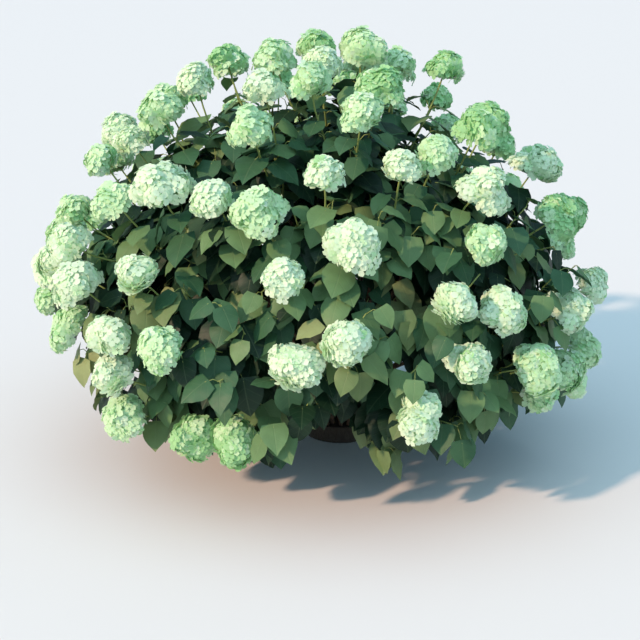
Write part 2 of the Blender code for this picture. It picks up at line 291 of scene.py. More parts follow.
class HydrangeaLeaves(bpy.types.PropertyGroup):
    """Leaves and the twigs that bear them."""

    length: length_prop("Leaf length", "Length of a middling blade", 0.094)
    width: FloatProperty(
        name="Leaf width", description="Share of the length", default=0.86, min=0.3, max=1.2
    )
    petiole: length_prop("Petiole", "Length of a middling leaf stalk", 0.032)
    joint: length_prop("Joint", "Length of stem from one pair of leaves to the next", 0.058)
    twigs: IntProperty(
        name="Leafy twigs", description="Side twigs over the whole crown", default=560, min=1
    )
    # The sunny green is lighter as painted sunlight.
    sunny: colour_prop("Sunny leaf", "Outer leaves in the sun", "#618155")
    middling: colour_prop("Middling leaf", "Most leaves", "#3a5f41")
    # The darkest green is painted shade, for leaves inside the crown and low on a twig.
    deep: colour_prop("Deep leaf", "Leaves inside the crown", "#183220")
    # The olive green is lighter as painted sunlight.
    olive: colour_prop("Olive leaf", "Older outer leaves", "#667c4f")
    yellowing: colour_prop("Yellowing leaf", "A few ageing leaves", "#8b9868")
    vein: colour_prop("Vein", "Midrib and side veins", "#7f946c")


class HydrangeaFlowers(bpy.types.PropertyGroup):
    """Flower heads."""

    floret: length_prop("Floret radius", "Middle to petal tip of one floret", 0.0185)
    florets: IntProperty(
        name="Florets", description="Florets on a head 12 cm across", default=118, min=1
    )
    cream: colour_prop("Cream petal", "Open petals in full bloom", "#e3f6d9")
    pale: colour_prop("Pale green petal", "Petals that are still greenish", "#d1efc4")
    lime: colour_prop("Lime petal", "Young or ageing petals", "#abdb9f")
    heart: colour_prop("Head's heart", "Stalks and buds between the florets", "#6f9a68")


class HydrangeaStage(bpy.types.PropertyGroup):
    """Camera, floor and light."""

    distance: length_prop("Camera distance", "From the camera to the middle of the crown", 4.0)
    elevation: FloatProperty(
        name="Camera elevation",
        description="Height of the view over the level",
        default=math.radians(15),
        unit="ROTATION",
    )
    floor: colour_prop("Floor", "Plain pale floor", "#dcd8d6")
    sun: colour_prop("Sun", "Warm light from the left", "#ffd7b8")
    fill: colour_prop("Fill", "Large pale lamp overhead", "#cfe7f3")
    bounce: colour_prop("Bounce", "Weak cool light from the right", "#a2d6fa")
    sky: colour_prop("Sky", "Cool soft light from above", "#86aec5")
    horizon: colour_prop("Horizon", "Pale soft light from far off", "#e6eef2")


def direction(azimuth, elevation):
    """The unit vector at these degrees, with azimuth 0 to the front."""
    a, e = math.radians(azimuth), math.radians(elevation)
    return Vector((math.sin(a) * math.cos(e), -math.cos(a) * math.cos(e), math.sin(e)))


def turns(start_deg, count):
    """Angles in radians, evenly round a circle."""
    return [math.radians(start_deg) + 2 * math.pi * i / count for i in range(count)]


def blend(shares, *ways):
    """The ways added up, each by its share."""
    total = Vector((0, 0, 0))
    for share, way in zip(shares, ways):
        total += way * share
    return total


def wavering(rng, most):
    """A small random vector."""
    return Vector([rng.uniform(-most, most) for _ in range(3)])


def dome(way, share=1.0):
    """The point at this share of the way from the crown's middle to its dome."""
    rise = CROWN_RISE if way.z > 0 else CROWN_DROP
    scaled = Vector((way.x / CROWN_HALF_WIDTH, way.y / CROWN_HALF_DEPTH, way.z / rise))
    return CROWN_MIDDLE + way * (share / scaled.length)


def bezier(a, b, c, d, t):
    u = 1 - t
    return a * u**3 + b * (3 * u * u * t) + c * (3 * u * t * t) + d * t**3


def arc(start, leave, end, arrive, steps):
    """Points on a smooth arc that leaves start along leave and comes in to end along arrive."""
    pull = (end - start).length * ARC_PULL
    first, last = start + leave * pull, end - arrive * pull
    return [bezier(start, first, last, end, i / steps) for i in range(steps + 1)]


class Head:
    """One flower head: its middle, its size and the way it faces."""

    def __init__(self, way, rng):
        self.middle = dome(way, 1 + rng.uniform(-REACH_WAVER, REACH_WAVER))
        self.radius = rng.uniform(*HEAD_RADIUS)
        self.lean = wavering(rng, HEAD_LEAN)

    def settle(self):
        """Faces outwards and up, and stays clear of the ground."""
        outward = (self.middle - CROWN_MIDDLE).normalized()
        self.facing = (outward + UP * HEAD_LIFT + self.lean).normalized()
        self.middle.z = max(self.middle.z, self.radius + HEAD_OVER_GROUND)
        self.base = self.middle + self.facing * (HEAD_FOOT * SHOOT_INTO_HEAD * self.radius)


class Mass:
    """One mass of foliage and the cane that carries it."""

    def __init__(self, tier, number, row):
        azimuth, elevation, heads, turn = row
        self.name = f"{tier}_{number}"
        self.tier = tier
        self.rng = random.Random(f"hydrangea {self.name}")
        self.way = direction(azimuth, elevation)
        self.middle = dome(self.way)
        side = direction(azimuth + 90, 0)
        rise = self.way.cross(side)
        self.heads = []
        angles = turns(turn, 2 * max(heads, 2))
        around = [side * math.cos(a) + rise * math.sin(a) for a in angles]
        for i in range(heads):
            waver = self.rng.uniform(-WAVER_DEG, WAVER_DEG)
            away = math.radians(HEAD_SPREAD_DEG[heads] + waver)
            way = self.way * math.cos(away) + around[2 * i] * math.sin(away)
            self.heads.append(Head(way.normalized(), self.rng))
        share = min((90 - elevation) / CANE_CIRCLE_DEG, 1.0)
        self.foot = Vector((self.way.x, self.way.y, 0)).normalized() * (CANE_CIRCLE * share)
        self.core = CANE_AIM.lerp(self.middle, CORE_SHARE)

    def settle(self):
        """The arc of the cane and the place of its fork, once feet and cores are spaced out."""
        self.foot.z = FOOT_HEIGHT + CLEAR
        level = Vector((self.way.x, self.way.y, 0))
        self.leave = (UP + level * CANE_SPLAY).normalized()
        self.arrive = (self.core - CANE_AIM).normalized()
        self.fork = self.core - self.arrive * (CORE_RADIUS * FORK_INTO_CORE)
        self.end = self.fork - self.arrive * STEM_LENGTH


def push_apart(points, distances, rounds=40):
    """Moves the points away from each other until each pair is at least its distance apart."""
    for _ in range(rounds):
        for i, a in enumerate(points):
            for j in range(i):
                between = a - points[j]
                short = distances(i, j) - between.length
                if short > 0:
                    shift = between.normalized() * (short / 2)
                    a += shift
                    points[j] -= shift


def plan_shrub():
    """Every mass, with its heads and feet spaced so that nothing touches."""
    masses = [
        Mass(tier, n + 1, row) for tier, rows in TIERS.items() for n, row in enumerate(rows)
    ]
    heads = [head for mass in masses for head in mass.heads]

    def head_room(i, j):
        return (heads[i].radius + heads[j].radius) * HEAD_ROOM

    push_apart([h.middle for h in heads], head_room)
    push_apart([m.foot for m in masses], lambda i, j: CANE_SPACING)
    push_apart([m.core for m in masses], lambda i, j: CORE_RADIUS * CORE_ROOM)
    for grown in (*heads, *masses):
        grown.settle()
    return masses


def shoot_line(mass, head):
    """A shoot leaves the fork along the cane and comes in to its head from behind."""
    leave = blend(SHOOT_SHARES, mass.arrive, (head.base - mass.fork).normalized()).normalized()
    return arc(mass.fork, leave, head.base, head.facing, SHOOT_STEPS)


def in_notch(azimuth, height):
    """Whether a way at this azimuth in degrees and this height lies in the front's notch."""
    beside = max(0.0, abs(azimuth - NOTCH_AZIMUTH_DEG) - NOTCH_HALF_WIDTH_DEG)
    return math.degrees(math.asin(height)) < NOTCH_HEAD_DEG - NOTCH_SLOPE * beside


def twig_lines(masses, count):
    """Leafy twigs with tips spread evenly over the crown, from the nearest mass's fork each."""
    rng = random.Random("leafy twigs")
    lines = []
    low = math.sin(math.radians(LOWEST_TWIG_DEG))
    for i in range(count):
        height = low + (HIGHEST_TWIG - low) * (i + 0.5) / count
        turn = i * GOLDEN_TURN
        azimuth = (math.degrees(turn) + 180) % 360 - 180
        flat = math.sqrt(1 - height * height)
        way = Vector((math.sin(turn) * flat, -math.cos(turn) * flat, height))
        mass = max(masses, key=lambda m: m.way.dot(way))
        hanging = way.z < min(mass.way.z, 0)
        spread = HANGING_SPREAD_DEG if hanging else TWIG_SPREAD_DEG
        share = rng.uniform(INNERMOST_TWIG, LEAFY_REACH[mass.tier])
        missing = rng.random() < AIRY_SHARE and way.z > AIRY_HEIGHT
        far = math.degrees(mass.way.angle(way)) > spread
        if missing or far or in_notch(azimuth, height):
            continue
        end = dome(way, share)
        end.z = max(end.z, TWIG_OVER_GROUND)
        arrive = ((end - mass.fork).normalized() + way * TWIG_TURN_OUT).normalized()
        lines.append((mass, arc(mass.fork, mass.arrive, end, arrive, TWIG_STEPS)))
    return lines


def from_tip(line, distance):
    """The place this far back from the end of a line, and the way that the line runs there."""
    for a, b in zip(reversed(line[:-1]), reversed(line[1:])):
        step = (b - a).length
        if distance <= step:
            return b + (a - b) * (distance / step), (b - a) / step
        distance -= step
    return line[0].copy(), (line[1] - line[0]).normalized()


class Spray:
    """The leaves of one twig, in opposite pairs with each pair turned square to the last."""

    def __init__(self, mass, line, bare, rng):
        settings = bpy.context.scene.hydrangea_leaves
        self.mass = mass
        self.line = line
        self.leaves = []
        turn = rng.uniform(0, math.pi)
        for n in range(LEAF_PAIRS):
            place, stem = from_tip(line, bare + settings.joint * n)
            u = stem.orthogonal().normalized()
            v = stem.cross(u)
            young = min(1.0, YOUNGEST + GROWTH * n)
            for side in range(2):
                waver = rng.uniform(-PAIR_WAVER, PAIR_WAVER)
                a = turn + n * math.pi / 2 + side * math.pi + waver
                lateral = u * math.cos(a) + v * math.sin(a)
                self.leaves.append(self.leaf(settings, place, stem, lateral, young, rng))

    def leaf(self, settings, place, stem, lateral, young, rng):
        """A petiole that reaches out to the light, and a blade that hangs its tip."""
        outward = (place - CROWN_MIDDLE).normalized()
        length = settings.length * young * rng.uniform(0.84, 1.26)
        reach = blend(PETIOLE_SHARES, lateral, stem, outward).normalized()
        root = place + reach * (settings.petiole * rng.uniform(0.6, 1.4))
        face = blend(FACE_SHARES, outward, UP, lateral) + wavering(rng, FACE_WAVER)
        normal = face.normalized()
        along = blend(TIP_SHARES, lateral, outward, UP) + wavering(rng, TIP_WAVER)
        return {
            "place": place,
            "root": root,
            "along": (along - normal * along.dot(normal)).normalized(),
            "normal": normal,
            "length": length,
            "droop": rng.uniform(0.05, 0.38),
            "fold": rng.uniform(0.10, 0.48),
            "twist": rng.uniform(-0.25, 0.25),
        }


def grow_sprays():
    """Every spray, less the leaves that would cut a head, the ground or the crown's reach."""
    settings = bpy.context.scene.hydrangea_leaves
    rng = random.Random("leaves")
    sprays = []
    for mass in MASSES:
        for head in mass.heads:
            bare = rng.uniform(*BARE_STEM)
            sprays.append(Spray(mass, shoot_line(mass, head), bare, rng))
    for mass, line in twig_lines(MASSES, settings.twigs):
        sprays.append(Spray(mass, line, BARE_TWIG, rng))
    middles = np.array([h.middle for m in MASSES for h in m.heads])
    radii = np.array([h.radius for m in MASSES for h in m.heads])
    low, high = (np.array(corner) for corner in CAD_BOX)

    def fits(leaf):
        """Tests a leaf at four places along its midrib and at one on either margin."""
        across = leaf["along"].cross(leaf["normal"]) * (leaf["length"] * 0.3)
        spine = [leaf["root"] + leaf["along"] * (leaf["length"] * s) for s in (0, 0.35, 0.7, 1)]
        points = np.array(spine + [spine[1] + across, spine[1] - across])
        apart = np.linalg.norm(points[:, None] - middles[None], axis=2) / radii
        inside = (points > low - PAST_BOX).all() and (points < high + PAST_BOX).all()
        over = points[:, 2].min() > LEAF_OVER_GROUND
        return apart.min() > HEAD_CLEARANCE and inside and over

    for spray in sprays:
        spray.leaves = [leaf for leaf in spray.leaves if fits(leaf)]
    return sprays


MASSES = plan_shrub()
# Filled once the settings are registered, and read by the steps for shoots and leaves.
SPRAYS = []


def masses_of(tier):
    return [mass for mass in MASSES if mass.tier == tier]


# Shared making: helpers for edit mode, for meshes from arrays and for materials.


def select_only(*objects):
    """Selects just these objects, with the first of them active."""
    for obj in bpy.context.selected_objects:
        obj.select_set(False)
    for obj in objects:
        obj.select_set(True)
    bpy.context.view_layer.objects.active = objects[0]


def start_editing(obj):
    select_only(obj)
    bpy.ops.object.mode_set(mode="EDIT")
    bpy.ops.mesh.select_mode(type="VERT")


def pick(obj, wanted):
    """Selects, in edit mode, just the vertices whose place passes the test."""
    bm = bmesh.from_edit_mesh(obj.data)
    for vertex in bm.verts:
        vertex.select = wanted(vertex.co)
    bm.select_flush(False)
    bm.select_flush(True)
    bmesh.update_edit_mesh(obj.data)


def resize(obj, wanted, value):
    """Resizes, about the origin, just the vertices whose place passes the test."""
    pick(obj, wanted)
    bpy.ops.transform.resize(value=value, center_override=(0, 0, 0))


def move(obj, wanted, by):
    pick(obj, wanted)
    bpy.ops.transform.translate(value=by)


def stop_editing():
    bpy.ops.object.mode_set(mode="OBJECT")


def linked(name, data):
    """A new object in the scene."""
    obj = bpy.data.objects.new(name, data)
    bpy.context.scene.collection.objects.link(obj)
    return obj


def standing_cylinder(sides, radius, height):
    """A cylinder that stands on the ground."""
    bpy.ops.mesh.primitive_cylinder_add(
        vertices=sides, radius=radius, depth=height, location=(0, 0, height / 2)
    )
    bpy.ops.object.transform_apply(location=True)
    return bpy.context.active_object


def make_lumpy(obj, name, size, strength, middle=0.5):
    """Moves the surface out and in by soft noise with lumps of this size."""
    lumps = bpy.data.textures.new(name, "CLOUDS")
    lumps.noise_scale = size
    swell = obj.modifiers.new(name, "DISPLACE")
    swell.texture = lumps
    swell.strength = strength
    swell.mid_level = middle
    bpy.ops.object.modifier_apply(modifier=swell.name)


def arrays_of(obj):
    """The points and triangles of a modelled pattern piece, which is then removed."""
    mesh = obj.data
    mesh.calc_loop_triangles()
    points = np.array([v.co for v in mesh.vertices])
    triangles = np.array([t.vertices for t in mesh.loop_triangles])
    bpy.data.objects.remove(obj)
    return points, triangles


def mesh_piece(name, points, triangles, finishes, slots=None, uv=None):
    """A smooth object from arrays: points, triangles, their finishes and the points' UVs."""
    mesh = bpy.data.meshes.new(name)
    mesh.from_pydata(points, (), triangles, shade_flat=False)
    for finish in finishes:
        mesh.materials.append(finish)
    if slots is not None:
        mesh.polygons.foreach_set("material_index", slots)
    if uv is not None:
        layer = mesh.uv_layers.new(name="UVMap")
        layer.data.foreach_set("uv", uv[triangles.ravel()].ravel())
    mesh.validate()
    return linked(name, mesh)


def tube_arrays(line, radii, sides):
    """The points and triangles of a closed tapering twig along a line."""
    line = [Vector(p) for p in line]
    points, triangles = [], []
    across = (line[1] - line[0]).orthogonal().normalized()
    for i, place in enumerate(line):
        run = (line[min(i + 1, len(line) - 1)] - line[max(i - 1, 0)]).normalized()
        across = (across - run * across.dot(run)).normalized()
        other = run.cross(across)
        for k in range(sides):
            a = 2 * math.pi * k / sides
            points.append(place + (across * math.cos(a) + other * math.sin(a)) * radii[i])
    for ring in range(len(line) - 1):
        for k in range(sides):
            a, b = ring * sides + k, ring * sides + (k + 1) % sides
            triangles += [(a, b, b + sides), (a, b + sides, a + sides)]
    last = (len(line) - 1) * sides
    for k in range(1, sides - 1):
        triangles += [(0, k + 1, k), (last, last + k, last + k + 1)]
    return np.array(points), np.array(triangles)


def unit_rows(rows):
    return rows / np.linalg.norm(rows, axis=1)[:, None]


def copied(triangles, count, size):
    """The triangles of this many copies of a shape of this many points, one after another."""
    return (triangles[None] + (np.arange(count) * size)[:, None, None]).reshape(-1, 3)


def joined(parts):
    """Several (points, triangles) as one."""
    points, triangles, base = [], [], 0
    for p, t in parts:
        points.append(p)
        triangles.append(t + base)
        base += len(p)
    return np.concatenate(points), np.concatenate(triangles)


def tapered(start, finish, count):
    return [start + (finish - start) * i / (count - 1) for i in range(count)]


def add_node(tree, kind, inputs=None, **settings):
    """A node with its settings. Each input is a value, or the socket that it is linked from."""
    node = tree.nodes.new(f"ShaderNode{kind}")
    for key, value in settings.items():
        setattr(node, key, value)
    for key, value in (inputs or {}).items():
        if isinstance(value, bpy.types.NodeSocket):
            tree.links.new(value, node.inputs[key])
        else:
            node.inputs[key].default_value = value
    return node


def new_finish(name, roughness, specular=0.5):
    """An empty material with its Principled shader ready, and what adds a node to it."""
    finish = bpy.data.materials.new(name)
    finish.use_nodes = True
    finish.node_tree.nodes.clear()
    node = partial(add_node, finish.node_tree)
    shine = {"Roughness": roughness, "Specular IOR Level": specular}
    shader = node("BsdfPrincipled", shine)
    node("OutputMaterial", {"Surface": shader.outputs["BSDF"]})
    return finish, node, shader


def colour_with(shader, colour, relief=None, through=0):
    """Gives the shader its colour and relief. This share of a thin surface's shine is turned
    to light that comes through from behind."""
    tree = shader.id_data
    tree.links.new(colour, shader.inputs["Base Color"])
    if relief:
        tree.links.new(relief.outputs["Normal"], shader.inputs["Normal"])
    if through:
        glow = add_node(tree, "BsdfTranslucent", {"Color": colour})
        ways = {"Fac": through, 1: shader.outputs["BSDF"], 2: glow.outputs["BSDF"]}
        both = add_node(tree, "MixShader", ways)
        tree.links.new(both.outputs["Shader"], tree.get_output_node("ALL").inputs["Surface"])


def scaled(colour, share):
    """The colour made darker or lighter, as RGBA."""
    return (*(min(1, c * share) for c in colour), 1)


def cloudy(node, colour, scale, detail, dark, light):
    """A colour that changes in soft patches, with this many of them to a metre."""
    place = node("TexCoord").outputs["Object"]
    patches = {"Vector": place, "Scale": scale, "Detail": detail}
    cloud = node("TexNoise", patches).outputs["Fac"]
    tones = {"Factor": cloud, "A": scaled(colour, dark), "B": scaled(colour, light)}
    return node("Mix", tones, data_type="RGBA").outputs["Result"]


def leaf_finish(name, colour, vein):
    """A leaf blade: matt and downy, so a wide weak shine, with a slow change of green, 40 mm
    across, from blade to blade. Its veins are paler and sunk into it, about 20 mm apart."""
    finish, node, shader = new_finish(name, 0.5, specular=0.28)
    green = cloudy(node, colour, 25.0, 2.0, 0.80, 1.20)
    place = node("TexCoord")
    parts = node("SeparateXYZ", {"Vector": place.outputs["UV"]})
    x, y = parts.outputs["X"], parts.outputs["Y"]
    offset = node("Math", {0: x, 1: 0.5}, operation="SUBTRACT").outputs[0]
    side = node("Math", {0: offset}, operation="ABSOLUTE").outputs[0]
    # A side vein lies wherever the climb is even, so the slant makes it rise to the margin.
    slant = node("Math", {0: side, 1: -VEIN_SLANT}, operation="MULTIPLY").outputs[0]
    climb = node("Math", {0: y, 1: VEIN_CLIMB, 2: slant}, operation="MULTIPLY_ADD")
    wave = node("Math", {0: climb.outputs[0], 1: 1.0}, operation="PINGPONG")
    near_rib = {"Value": wave.outputs[0], "From Max": 0.14, "To Min": 0.55, "To Max": 0.0}
    ribs = node("MapRange", near_rib)
    near_midrib = {"From Min": 0.008, "From Max": 0.03, "To Min": 1.0, "To Max": 0.0}
    midrib = node("MapRange", {"Value": side, **near_midrib})
    both = {0: ribs.outputs["Result"], 1: midrib.outputs["Result"]}
    veins = node("Math", both, operation="MAXIMUM").outputs[0]
    faint = node("Math", {0: veins, 1: VEIN_STRENGTH}, operation="MULTIPLY")
    tones = {"Factor": faint.outputs[0], "A": green, "B": (*vein, 1)}
    tinted = node("Mix", tones, data_type="RGBA").outputs["Result"]
    depth = {"Height": veins, "Strength": 0.35, "Distance": 0.0012}
    relief = node("Bump", depth, invert=True)
    colour_with(shader, tinted, relief, through=0.15)
    return finish


def petal_finish(name, colour):
    """A petal-like sepal: thin, soft and dull, so that light comes through it, and a little
    deeper in tone in patches 6 mm across."""
    finish, node, shader = new_finish(name, 0.62)
    colour_with(shader, cloudy(node, colour, 160.0, 1.0, 0.86, 1.10), through=0.35)
    return finish


def bark_finish(name, colour, furrow):
    """Thin papery bark on old wood: dry and dull, in strips about 4 mm wide that run up the
    cane, with shallow furrows between them."""
    finish, node, shader = new_finish(name, 0.85)
    place = node("TexCoord").outputs["Object"]
    drawn_out = node("Mapping", {"Vector": place, "Scale": (1.0, 1.0, 0.12)})
    strips = {"Vector": drawn_out.outputs["Vector"], "Scale": 250.0, "Detail": 4.0}
    noise = node("TexNoise", strips).outputs["Fac"]
    edge = {"Value": noise, "From Min": 0.38, "From Max": 0.62}
    height = node("MapRange", edge).outputs["Result"]
    tones = {"Factor": height, "A": (*furrow, 1), "B": (*colour, 1)}
    tone = node("Mix", tones, data_type="RGBA").outputs["Result"]
    relief = node("Bump", {"Height": height, "Strength": 0.6, "Distance": 0.001})
    colour_with(shader, tone, relief)
    return finish


def shoot_finish(name, colour):
    """Young green bark: smooth with a faint down, speckled with lenticels 2 mm apart."""
    finish, node, shader = new_finish(name, 0.55)
    colour_with(shader, cloudy(node, colour, 420.0, 2.0, 0.7, 1.2))
    return finish


def stand_for(piece, slot, *nodes):
    """The piece rides on the shrub's one body and takes the place of these solids."""
    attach(piece, "root")
    if nodes:
        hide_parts(*nodes)


class HYDRANGEA_OT_foot(bpy.types.Operator):
    """Models the woody foot, with its flare and bark"""

    bl_idname = "hydrangea.foot"
    bl_label = "Woody foot"

    def execute(self, context):
        wood = context.scene.hydrangea_wood
        foot = standing_cylinder(40, FOOT_RADIUS * WOOD_SHARE, FOOT_HEIGHT)
        foot.name = "woody_foot_bark"
        start_editing(foot)
        shoulder = FOOT_SHOULDER / FOOT_RADIUS
        resize(foot, lambda co: co.z > FOOT_HEIGHT - NEAR, (shoulder, shoulder, 1))
        bpy.ops.mesh.select_all(action="SELECT")
        bpy.ops.mesh.subdivide(number_cuts=5)
        bpy.ops.mesh.quads_convert_to_tris()
        stop_editing()
        make_lumpy(foot, "foot_lumps", size=0.045, strength=0.010, middle=0.62)
        # The cut at ground level is flat again.
        start_editing(foot)
        resize(foot, lambda co: co.z < FOOT_CUT, (1, 1, 0))
        stop_editing()
        bpy.ops.object.shade_smooth_by_angle(angle=math.radians(50))
        # The foot takes the darker bark, as painted shade.
        foot.data.materials.append(bark_finish("papery_bark_foot", wood.foot_bark, wood.bark_dark))
        stand_for(foot, "woody_foot", "woody_foot")
        return {"FINISHED"}


class HYDRANGEA_OT_canes(bpy.types.Operator):
    """Models one straight cane with its bark, then bends a copy along the arc of each mass"""

    bl_idname = "hydrangea.canes"
    bl_label = "Canes"

    def straight_cane(self, wood):
        """A cane one metre long, as thick as at its base, with strips of bark in relief."""
        cane = standing_cylinder(11, wood.cane_base - wood.bark_relief / 2, 1)
        start_editing(cane)
        bm = bmesh.from_edit_mesh(cane.data)
        bpy.ops.mesh.select_mode(type="EDGE")
        for edge in bm.edges:
            a, b = edge.verts
            edge.select = abs(a.co.z - b.co.z) > 0.5
        bmesh.update_edit_mesh(cane.data)
        bpy.ops.mesh.subdivide(number_cuts=23)
        stop_editing()
        make_lumpy(cane, "bark_strips", size=0.012, strength=wood.bark_relief)
        return cane

    def guide(self, mass, taper):
        """A curve along the arc of a mass's cane, thinned by its taper to its far end."""
        curve = bpy.data.curves.new(f"arc_{mass.name}", "CURVE")
        curve.dimensions = "3D"
        curve.use_stretch = True
        curve.use_deform_bounds = True
        curve.resolution_u = 24
        spline = curve.splines.new("BEZIER")
        spline.bezier_points.add(1)
        end = mass.fork if mass.tier == "skirt" else mass.end
        pull = (end - mass.foot).length * ARC_PULL
        ends = ((mass.foot, mass.leave, 1.0), (end, mass.arrive, taper))
        for point, (place, way, radius) in zip(spline.bezier_points, ends):
            point.co = place
            point.handle_left = place - way * pull
            point.handle_right = place + way * pull
            point.radius = radius
        return linked(curve.name, curve)

    def bent(self, pattern, guide):
        """A copy of the straight cane, bent along a guide, which is then removed."""
        cane = linked("cane", pattern.data.copy())
        bend = cane.modifiers.new("bend", "CURVE")
        bend.object = guide
        bend.deform_axis = "POS_Z"
        select_only(cane)
        bpy.ops.object.modifier_apply(modifier=bend.name)
        bpy.data.objects.remove(guide)
        return cane

    def execute(self, context):
        wood = context.scene.hydrangea_wood
        pattern = self.straight_cane(wood)
        taper = wood.cane_tip / wood.cane_base
        copies = [self.bent(pattern, self.guide(mass, taper)) for mass in MASSES]
        bpy.data.objects.remove(pattern)
        select_only(*copies)
        bpy.ops.object.join()
        canes = context.active_object
        canes.name = "canes_bark"
        canes.data.materials.append(bark_finish("papery_bark_cane", wood.bark, wood.bark_dark))
        bpy.ops.object.shade_smooth()
        nodes = [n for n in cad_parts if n.startswith("cane_")]
        stand_for(canes, "canes", *nodes)
        return {"FINISHED"}


class HYDRANGEA_OT_twigs(bpy.types.Operator):
    """Grows the green shoots, side twigs and petioles of each tier"""

    bl_idname = "hydrangea.twigs"
    bl_label = "Shoots and petioles"

    def execute(self, context):
        wood = context.scene.hydrangea_wood
        green = shoot_finish("young_green_bark", wood.shoot)
        for tier in TIERS:
            parts = []
            for mass in masses_of(tier):
                stem = [mass.end - mass.arrive * STEM_INTO_CANE, mass.fork]
                parts.append(tube_arrays(stem, [wood.cane_tip, STEM_TIP], STEM_SIDES))
                for head in mass.heads:
                    parts += self.rays(head)
            for spray in SPRAYS:
                if spray.mass.tier == tier:
                    parts += self.stalks(wood, spray)
            piece = mesh_piece(f"shoots_{tier}", *joined(parts), [green])
            stand_for(piece, "foliage")
        return {"FINISHED"}

    def rays(self, head):
        """The stalks that fan out from the top of a shoot to the florets."""
        rng = random.Random(f"rays {head.middle.x:.4f}")
        u = head.facing.orthogonal().normalized()
        v = head.facing.cross(u)
        root = head.base - head.facing * RAY_ROOT
        found = []
        for k in range(RAYS):
            a = 2 * math.pi * k / RAYS + rng.uniform(-RAY_WAVER, RAY_WAVER)
            tip = head.middle + (u * math.cos(a) + v * math.sin(a)) * (head.radius * RAY_REACH)
            tip += head.facing * (head.radius * rng.uniform(*RAY_HEIGHTS))
            found.append(tube_arrays([root, tip], RAY_RADII, STALK_SIDES))
        return found

    def stalks(self, wood, spray):
        """The stem of a spray and the petioles of its leaves."""
        count = len(spray.line)
        thick = 1.0 if count > SHOOT_STEPS else TWIG_THICKNESS
        radii = tapered(wood.shoot_base * thick, wood.shoot_tip * thick, count)
        found = [tube_arrays(spray.line, radii, SHOOT_SIDES)]
        for leaf in spray.leaves:
            bend = leaf["place"].lerp(leaf["root"], 0.55) + UP * PETIOLE_ARCH
            tip = leaf["root"] + leaf["along"] * PETIOLE_UNDER_BLADE
            found.append(tube_arrays([leaf["place"], bend, tip], PETIOLE_RADII, STALK_SIDES))
        return found


class HYDRANGEA_OT_leaves(bpy.types.Operator):
    """Models one leaf blade, then hangs a shaped copy of it on each petiole"""

    bl_idname = "hydrangea.leaves"
    bl_label = "Leaves"

    def blade(self):
        """A flat ovate blade one unit long and two wide, with x across and y along."""
        rows = len(BLADE_WIDTHS) - 1
        bpy.ops.mesh.primitive_grid_add(
            x_subdivisions=4, y_subdivisions=rows, size=1, location=(0, 0.5, 0)
        )
        leaf = bpy.context.active_object
        bpy.ops.object.transform_apply(location=True)
        start_editing(leaf)

        def in_row(co, row):
            return abs(co.y - row / rows) < NEAR

        for row, width in enumerate(BLADE_WIDTHS):
            resize(leaf, lambda co: in_row(co, row), (2 * width, 1, 1))
        # The heart-shaped foot: the sides of the first row hang back past the petiole.
        for beside, back in ((0.5, -0.11), (0.2, -0.05)):
            move(leaf, lambda co: in_row(co, 1) and abs(co.x) > beside, (0, back, 0))
        bpy.ops.mesh.select_all(action="SELECT")
        bpy.ops.mesh.remove_doubles(threshold=NEAR)
        stop_editing()
        return arrays_of(leaf)

    def execute(self, context):
        settings = context.scene.hydrangea_leaves
        points, triangles = self.blade()
        uv = np.stack([points[:, 0] * 0.5 + 0.5, points[:, 1]], axis=1)
        tints = list(LEAF_TINTS)
        finishes = [
            leaf_finish(f"leaf_{tint}", tuple(getattr(settings, tint)), tuple(settings.vein))
            for tint in tints
        ]
        rng = random.Random("leaf tints")
        for tier in TIERS:
            leaves, slots = [], []
            for spray in SPRAYS:
                tint = rng.choices(tints, tuple(LEAF_TINTS.values()))[0]
                if spray.mass.tier != tier:
                    continue
                # The leaves further down a twig are in its shade, so they take the darkest green,
                # as painted shade.
                shaded = tint if tint == "yellowing" else "deep"
                for number, leaf in enumerate(spray.leaves):
                    leaves.append(leaf)
                    slots.append(tints.index(shaded if number > 3 else tint))
            count = len(leaves)
            piece = mesh_piece(
                f"leaves_{tier}",
                self.hung(leaves, points[:, 0], points[:, 1]),
                copied(triangles, count, len(points)),
                finishes,
                np.repeat(slots, len(triangles)),
                np.tile(uv, (count, 1)),
            )
            nodes = [f"foliage_{mass.name}" for mass in masses_of(tier)]
            stand_for(piece, "foliage", *nodes)
        return {"FINISHED"}

    def hung(self, leaves, x, y):
        """The points of a blade shaped and placed for each leaf."""

        def column(key):
            return np.array([leaf[key] for leaf in leaves])[:, None]

        x, y = x[None], y[None]
        length = column("length")
        half = length * bpy.context.scene.hydrangea_leaves.width / 2
        along, normal = column("along"), column("normal")
        across = np.cross(along, normal)
        side = x * half
        ahead = y * length
        # Folded along the midrib, domed on either side of it, drooping, twisted and wavy.
        lift = np.abs(side) * column("fold") - column("droop") * y**2 * length
        lift -= (x**2) * half * DOMING
        lift += side * column("twist") * y
        phase = (np.arange(len(leaves)) * WAVE_TURN)[:, None]
        lift += np.sin(y * WAVES + phase) * np.abs(x) * half * WAVE_DEPTH
        placed = column("root") + across * side[..., None] + along * ahead[..., None]
        placed += normal * lift[..., None]
        return placed.reshape(-1, 3)


